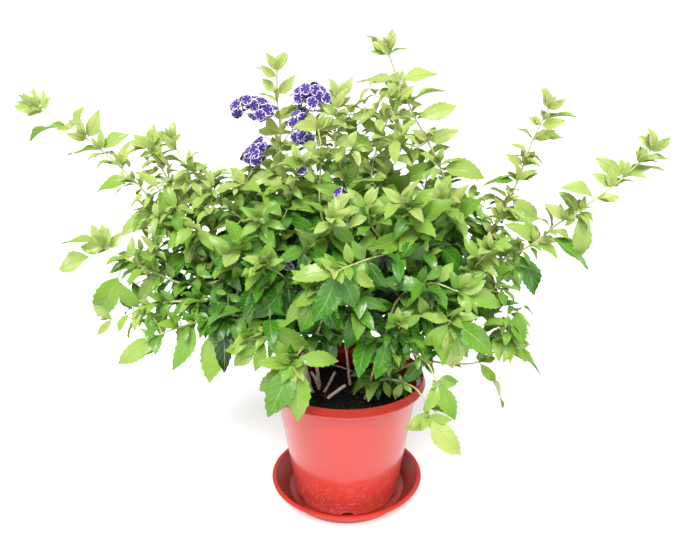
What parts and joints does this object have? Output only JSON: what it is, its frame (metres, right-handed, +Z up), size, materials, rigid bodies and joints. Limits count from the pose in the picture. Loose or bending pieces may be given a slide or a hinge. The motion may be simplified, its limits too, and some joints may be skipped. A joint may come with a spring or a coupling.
{
  "type": "potted golden dewdrop",
  "caption": "Bushy flowering shrub with arching leafy shoots and violet racemes, growing in a tapered round plastic pot with a rim band, on a shallow saucer.",
  "frame": {"origin": "centre of the saucer's flat underside, where it rests on the ground", "axes": "+Z up along the pot's axis, -Y towards the front of the plant as pictured, +X towards its right-hand side, along its widest spread"},
  "size_m": [0.7891, 0.3845, 0.6027],
  "materials": {
    "saucer_plastic": "moulded, glossy",
    "pot_plastic": "moulded, glossy",
    "potting_soil": "damp and crumbly",
    "bark": "thin grey-tan bark",
    "leaf": "soft waxy sheen",
    "petal": "velvety"
  },
  "bodies": {
    "root": {"saucer": "saucer_plastic", "pot": "pot_plastic", "soil": "potting_soil", "stem_left": "bark", "stem_flower": "bark", "stem_front_left": "bark", "stem_back_left": "bark", "stem_right": "bark", "stem_middle": "bark", "stem_back_right": "bark", "stem_front_right": "bark", "shoot_far_left": "leaf", "shoot_left_mid": "leaf", "shoot_left_high": "leaf", "shoot_left": "leaf", "shoot_left_low": "leaf", "shoot_low_left": "leaf", "shoot_low_left_front": "leaf", "shoot_front_left": "leaf", "shoot_flower_tall": "leaf", "shoot_centre": "leaf", "shoot_centre_tall": "leaf", "shoot_top_side": "leaf", "shoot_top": "leaf", "shoot_right_high": "leaf", "shoot_far_right": "leaf", "shoot_right_low": "leaf", "shoot_right_low_front": "leaf", "shoot_thin_right": "leaf", "shoot_droop_right": "leaf", "shoot_droop_rim": "leaf", "shoot_front_centre": "leaf", "shoot_front_low": "leaf", "shoot_low_tuft": "leaf", "shoot_low_front": "leaf", "shoot_pot_low": "leaf", "shoot_front_left_up": "leaf", "shoot_front_up": "leaf", "shoot_mid_left": "leaf", "shoot_mid_left_up": "leaf", "shoot_mid_front_left": "leaf", "shoot_mid_up_left": "leaf", "shoot_mid_front": "leaf", "shoot_mid_front_right": "leaf", "shoot_mid_right": "leaf", "shoot_mid_right_low": "leaf", "shoot_low_back": "leaf", "shoot_back_left": "leaf", "shoot_back_left_up": "leaf", "shoot_back": "leaf", "shoot_back_up": "leaf", "shoot_back_right": "leaf", "shoot_back_right_up": "leaf", "shoot_back_right_low": "leaf", "raceme_left": "petal", "raceme_top": "petal", "raceme_middle": "petal", "raceme_low": "petal", "raceme_inner": "petal", "raceme_small": "petal"}
  },
  "joints": []
}
